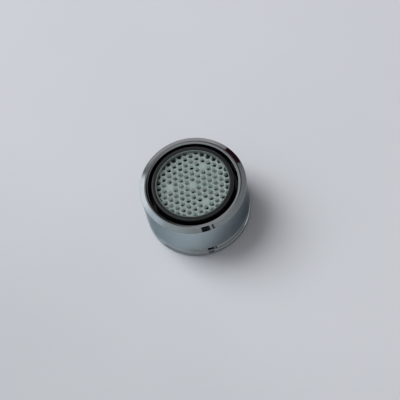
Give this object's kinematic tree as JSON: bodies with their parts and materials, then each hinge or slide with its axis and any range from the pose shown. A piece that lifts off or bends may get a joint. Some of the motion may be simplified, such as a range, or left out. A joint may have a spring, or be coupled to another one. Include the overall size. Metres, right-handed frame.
{
  "type": "tap aerator",
  "caption": "Round chrome tap aerator with a bevelled lip, a black air gap, a dark plastic sleeve and a pale green honeycomb outlet; female thread at the inlet end.",
  "frame": {"origin": "centre of the inlet face, on the axis of the shell", "axes": "+Z along the axis towards the outlet, up when it stands on its inlet end; +X to the right and -Y towards the viewer of the picture"},
  "size_m": [0.024, 0.024, 0.0131],
  "materials": {
    "chrome_shell": "polished",
    "black_rubber": "matt",
    "dark_plastic": "satin",
    "pale_green_plastic": "satin, slightly translucent",
    "white_plastic": "matt"
  },
  "bodies": {
    "root": {"housing": "chrome_shell", "sealing_washer": "black_rubber", "cartridge_sleeve": "dark_plastic", "outlet_honeycomb": "pale_green_plastic", "inlet_filter": "white_plastic", "jet_plate": "white_plastic", "jet_deflector": "white_plastic", "mixing_grid": "dark_plastic", "grid_spacer": "dark_plastic", "second_grid": "white_plastic"}
  },
  "joints": []
}
